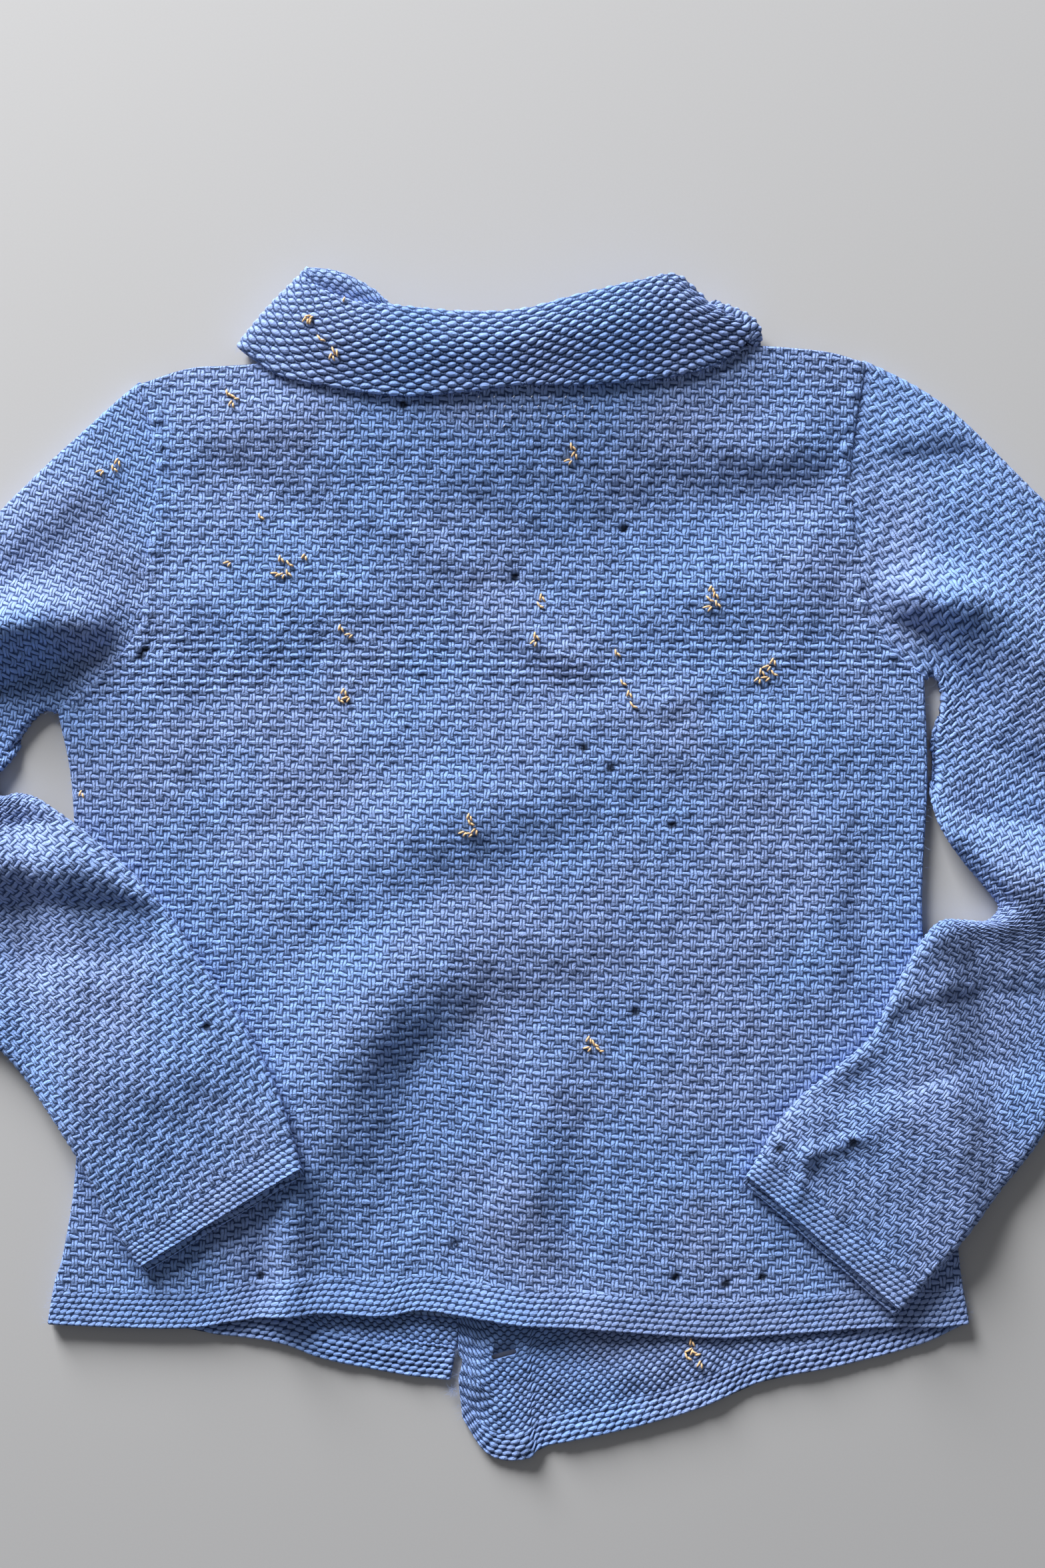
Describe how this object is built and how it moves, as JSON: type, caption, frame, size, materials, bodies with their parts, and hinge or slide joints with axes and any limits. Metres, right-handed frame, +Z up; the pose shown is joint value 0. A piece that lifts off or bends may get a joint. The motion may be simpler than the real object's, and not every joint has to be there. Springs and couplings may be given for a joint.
{
  "type": "wool sweater",
  "caption": "Hand-knitted blue wool cardigan with a turned-down collar, darned and worn, lying flat with its back up and its sleeves bent back over the body.",
  "frame": {"origin": "on the surface that the garment lies on, under the middle of its box", "axes": "+Z up, out of the back; +Y from the hem towards the neck; +X towards the wearer's right sleeve, which is on the right with the back up"},
  "size_m": [0.8278, 0.7064, 0.0252],
  "materials": {
    "wool_knit": "fuzzy blue wool, hand-knitted",
    "darning_thread": "cream darning thread"
  },
  "bodies": {
    "root": {"back": "wool_knit", "front_left": "wool_knit", "front_right": "wool_knit", "sleeve_left": "wool_knit", "sleeve_right": "wool_knit", "collar": "wool_knit"}
  },
  "joints": []
}
